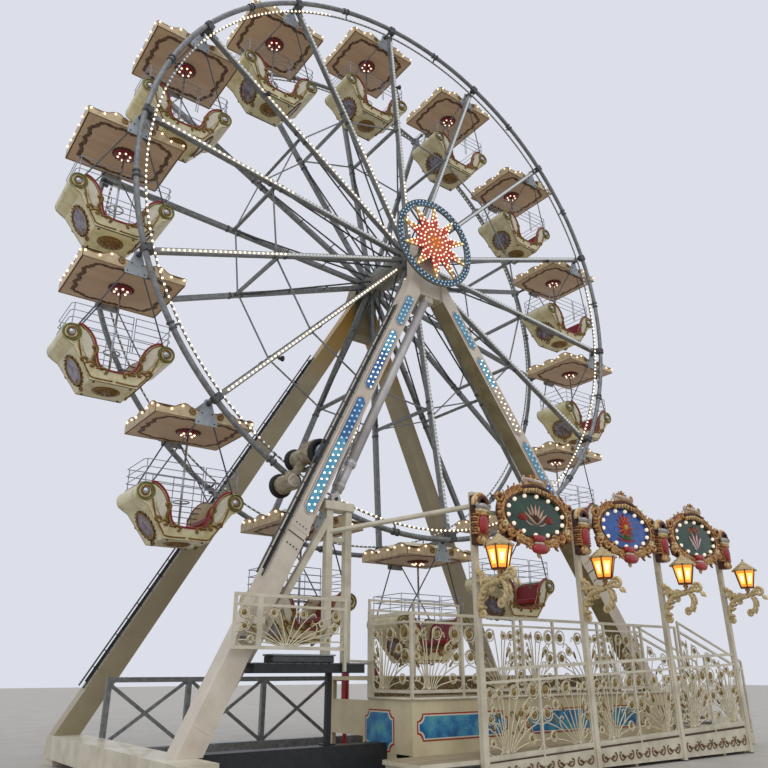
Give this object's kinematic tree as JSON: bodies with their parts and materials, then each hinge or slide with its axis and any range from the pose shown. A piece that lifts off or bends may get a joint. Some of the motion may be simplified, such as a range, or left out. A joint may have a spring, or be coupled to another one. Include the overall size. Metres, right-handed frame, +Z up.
{
  "type": "ferris wheel",
  "caption": "Travelling ferris wheel on four sloping legs, with hanging covered gondolas that stay level, a star sign, boarding deck, stairs and fence with shields.",
  "frame": {"origin": "on the ground, at the middle of the whole outline; the hub axis is 0.12 m to its left and 1.32 m behind it", "axes": "+Z up, the wheel turns about Y, the boarding side with fence and star sign faces -Y, +X is to the right seen from there"},
  "size_m": [16.2148, 8.04, 18.2796],
  "materials": {
    "cream_paint": "satin cream paint on welded steel",
    "grey_steel": "grey galvanised steel tube",
    "dark_steel": "dull dark grey steel",
    "cabin_paint": "cream gloss paint on sheet and moulded relief",
    "tyre_rubber": "black rubber",
    "jack_red": "red gloss paint",
    "sign_blue": "dark blue painted sheet",
    "gold_paint": "antique gold paint on moulded relief"
  },
  "bodies": {
    "base": {"leg_front_left": "cream_paint", "leg_front_right": "cream_paint", "leg_rear_left": "cream_paint", "leg_rear_right": "cream_paint", "bearing_head_front": "cream_paint", "bearing_head_rear": "cream_paint", "star_sign": "sign_blue", "lift_strut": "cream_paint", "strut_posts": "cream_paint", "facade_brace": "cream_paint", "drive_frame": "dark_steel", "outrigger_left": "cream_paint", "outrigger_right": "cream_paint", "base_beam_front": "cream_paint", "rear_base_truss": "grey_steel", "jack_left": "jack_red", "jack_right": "jack_red", "deck": "cream_paint", "walkway": "cream_paint", "deck_railing": "cream_paint", "stairs": "cream_paint", "left_fence": "cream_paint", "facade_post_1": "cream_paint", "facade_post_2": "cream_paint", "facade_post_3": "cream_paint", "facade_post_4": "cream_paint", "fence_panel_1": "cream_paint", "fence_panel_2": "cream_paint", "fence_panel_3": "cream_paint", "shield_1": "gold_paint", "shield_2": "gold_paint", "shield_3": "gold_paint"},
    "wheel": {"rim_near": "grey_steel", "rim_far": "grey_steel", "spokes_near": "grey_steel", "spokes_far": "grey_steel", "spoke_ties": "dark_steel", "hub_drum": "grey_steel"},
    "cabin_01": {"cabin_01": "cabin_paint"},
    "cabin_02": {"cabin_02": "cabin_paint"},
    "cabin_03": {"cabin_03": "cabin_paint"},
    "cabin_04": {"cabin_04": "cabin_paint"},
    "cabin_05": {"cabin_05": "cabin_paint"},
    "cabin_06": {"cabin_06": "cabin_paint"},
    "cabin_07": {"cabin_07": "cabin_paint"},
    "cabin_08": {"cabin_08": "cabin_paint"},
    "cabin_09": {"cabin_09": "cabin_paint"},
    "cabin_10": {"cabin_10": "cabin_paint"},
    "cabin_11": {"cabin_11": "cabin_paint"},
    "cabin_12": {"cabin_12": "cabin_paint"},
    "cabin_13": {"cabin_13": "cabin_paint"},
    "cabin_14": {"cabin_14": "cabin_paint"},
    "drive_tyre_inner": {"drive_tyre_inner": "tyre_rubber"},
    "drive_tyre_outer": {"drive_tyre_outer": "tyre_rubber"}
  },
  "joints": [
    {"name": "wheel_spin", "type": "hinge", "parent": "base", "child": "wheel", "pos_m": [-0.12288, 1.32, 11.22], "axis": [0, 1, 0], "continuous": true},
    {"name": "cabin_01_level", "type": "hinge", "parent": "wheel", "child": "cabin_01", "pos_m": [-3.8375, 1.11, 17.1531], "axis": [0, 1, 0], "continuous": true},
    {"name": "cabin_02_level", "type": "hinge", "parent": "wheel", "child": "cabin_02", "pos_m": [-0.89536, 1.11, 18.17725], "axis": [0, 1, 0], "continuous": true},
    {"name": "cabin_03_level", "type": "hinge", "parent": "wheel", "child": "cabin_03", "pos_m": [2.19977, 1.11, 17.82343], "axis": [0, 1, 0], "continuous": true},
    {"name": "cabin_04_level", "type": "hinge", "parent": "wheel", "child": "cabin_04", "pos_m": [4.83488, 1.11, 16.16172], "axis": [0, 1, 0], "continuous": true},
    {"name": "cabin_05_level", "type": "hinge", "parent": "wheel", "child": "cabin_05", "pos_m": [6.48804, 1.11, 13.52124], "axis": [0, 1, 0], "continuous": true},
    {"name": "cabin_06_level", "type": "hinge", "parent": "wheel", "child": "cabin_06", "pos_m": [6.83182, 1.11, 10.42498], "axis": [0, 1, 0], "continuous": true},
    {"name": "cabin_07_level", "type": "hinge", "parent": "wheel", "child": "cabin_07", "pos_m": [5.79814, 1.11, 7.48617], "axis": [0, 1, 0], "continuous": true},
    {"name": "cabin_08_level", "type": "hinge", "parent": "wheel", "child": "cabin_08", "pos_m": [3.59173, 1.11, 5.2869], "axis": [0, 1, 0], "continuous": true},
    {"name": "cabin_09_level", "type": "hinge", "parent": "wheel", "child": "cabin_09", "pos_m": [0.64959, 1.11, 4.26275], "axis": [0, 1, 0], "continuous": true},
    {"name": "cabin_10_level", "type": "hinge", "parent": "wheel", "child": "cabin_10", "pos_m": [-2.44554, 1.11, 4.61657], "axis": [0, 1, 0], "continuous": true},
    {"name": "cabin_11_level", "type": "hinge", "parent": "wheel", "child": "cabin_11", "pos_m": [-5.08065, 1.11, 6.27828], "axis": [0, 1, 0], "continuous": true},
    {"name": "cabin_12_level", "type": "hinge", "parent": "wheel", "child": "cabin_12", "pos_m": [-6.73381, 1.11, 8.91876], "axis": [0, 1, 0], "continuous": true},
    {"name": "cabin_13_level", "type": "hinge", "parent": "wheel", "child": "cabin_13", "pos_m": [-7.07759, 1.11, 12.01502], "axis": [0, 1, 0], "continuous": true},
    {"name": "cabin_14_level", "type": "hinge", "parent": "wheel", "child": "cabin_14", "pos_m": [-6.04391, 1.11, 14.95383], "axis": [0, 1, 0], "continuous": true},
    {"name": "drive_tyre_inner_spin", "type": "hinge", "parent": "base", "child": "drive_tyre_inner", "pos_m": [-3.35368, -0.115, 5.36742], "axis": [0, 1, 0], "continuous": true},
    {"name": "drive_tyre_outer_spin", "type": "hinge", "parent": "base", "child": "drive_tyre_outer", "pos_m": [-3.64867, -0.115, 4.83305], "axis": [0, 1, 0], "continuous": true}
  ],
  "couplings": [
    {"joint": "cabin_01_level", "follows": "wheel_spin", "ratio": -1},
    {"joint": "cabin_02_level", "follows": "wheel_spin", "ratio": -1},
    {"joint": "cabin_03_level", "follows": "wheel_spin", "ratio": -1},
    {"joint": "cabin_04_level", "follows": "wheel_spin", "ratio": -1},
    {"joint": "cabin_05_level", "follows": "wheel_spin", "ratio": -1},
    {"joint": "cabin_06_level", "follows": "wheel_spin", "ratio": -1},
    {"joint": "cabin_07_level", "follows": "wheel_spin", "ratio": -1},
    {"joint": "cabin_08_level", "follows": "wheel_spin", "ratio": -1},
    {"joint": "cabin_09_level", "follows": "wheel_spin", "ratio": -1},
    {"joint": "cabin_10_level", "follows": "wheel_spin", "ratio": -1},
    {"joint": "cabin_11_level", "follows": "wheel_spin", "ratio": -1},
    {"joint": "cabin_12_level", "follows": "wheel_spin", "ratio": -1},
    {"joint": "cabin_13_level", "follows": "wheel_spin", "ratio": -1},
    {"joint": "cabin_14_level", "follows": "wheel_spin", "ratio": -1},
    {"joint": "drive_tyre_inner_spin", "follows": "wheel_spin", "ratio": 30.152},
    {"joint": "drive_tyre_outer_spin", "follows": "wheel_spin", "ratio": -30.717}
  ]
}
